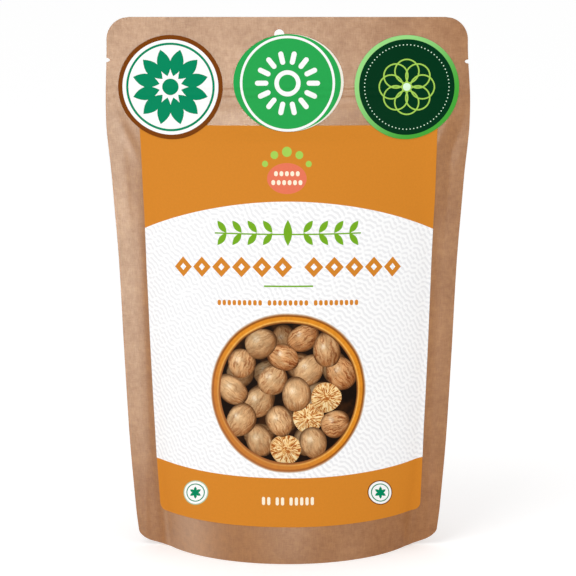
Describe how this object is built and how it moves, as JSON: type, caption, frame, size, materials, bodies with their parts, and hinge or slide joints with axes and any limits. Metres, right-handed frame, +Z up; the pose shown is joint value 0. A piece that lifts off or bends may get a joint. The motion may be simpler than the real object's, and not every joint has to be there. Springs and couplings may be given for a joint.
{
  "type": "brown paper stand-up pouch of whole spice",
  "caption": "Shut brown-paper stand-up pouch of whole nutmegs, with a pressed zip, side seals, a hang hole, a front label and round stickers.",
  "frame": {"origin": "on the floor, under the middle of the pouch", "axes": "+Z up, +X to the right across the front, and the labelled front faces -Y"},
  "size_m": [0.178, 0.0756, 0.2643],
  "materials": {
    "brown_paper": "matt brown paper film with a faint sheen",
    "label_print": "satin white paper label with orange bands above and below and a printed picture of nutmegs in a round bowl",
    "sticker_brown_rim": "satin white sticker with a brown rim and a green disc",
    "sticker_green": "satin green sticker with a white ring",
    "sticker_dark_green": "satin dark green sticker with a light green rim"
  },
  "bodies": {
    "root": {"pouch": "brown_paper", "label": "label_print", "sticker_left": "sticker_brown_rim", "sticker_centre": "sticker_green", "sticker_right": "sticker_dark_green"}
  },
  "joints": []
}
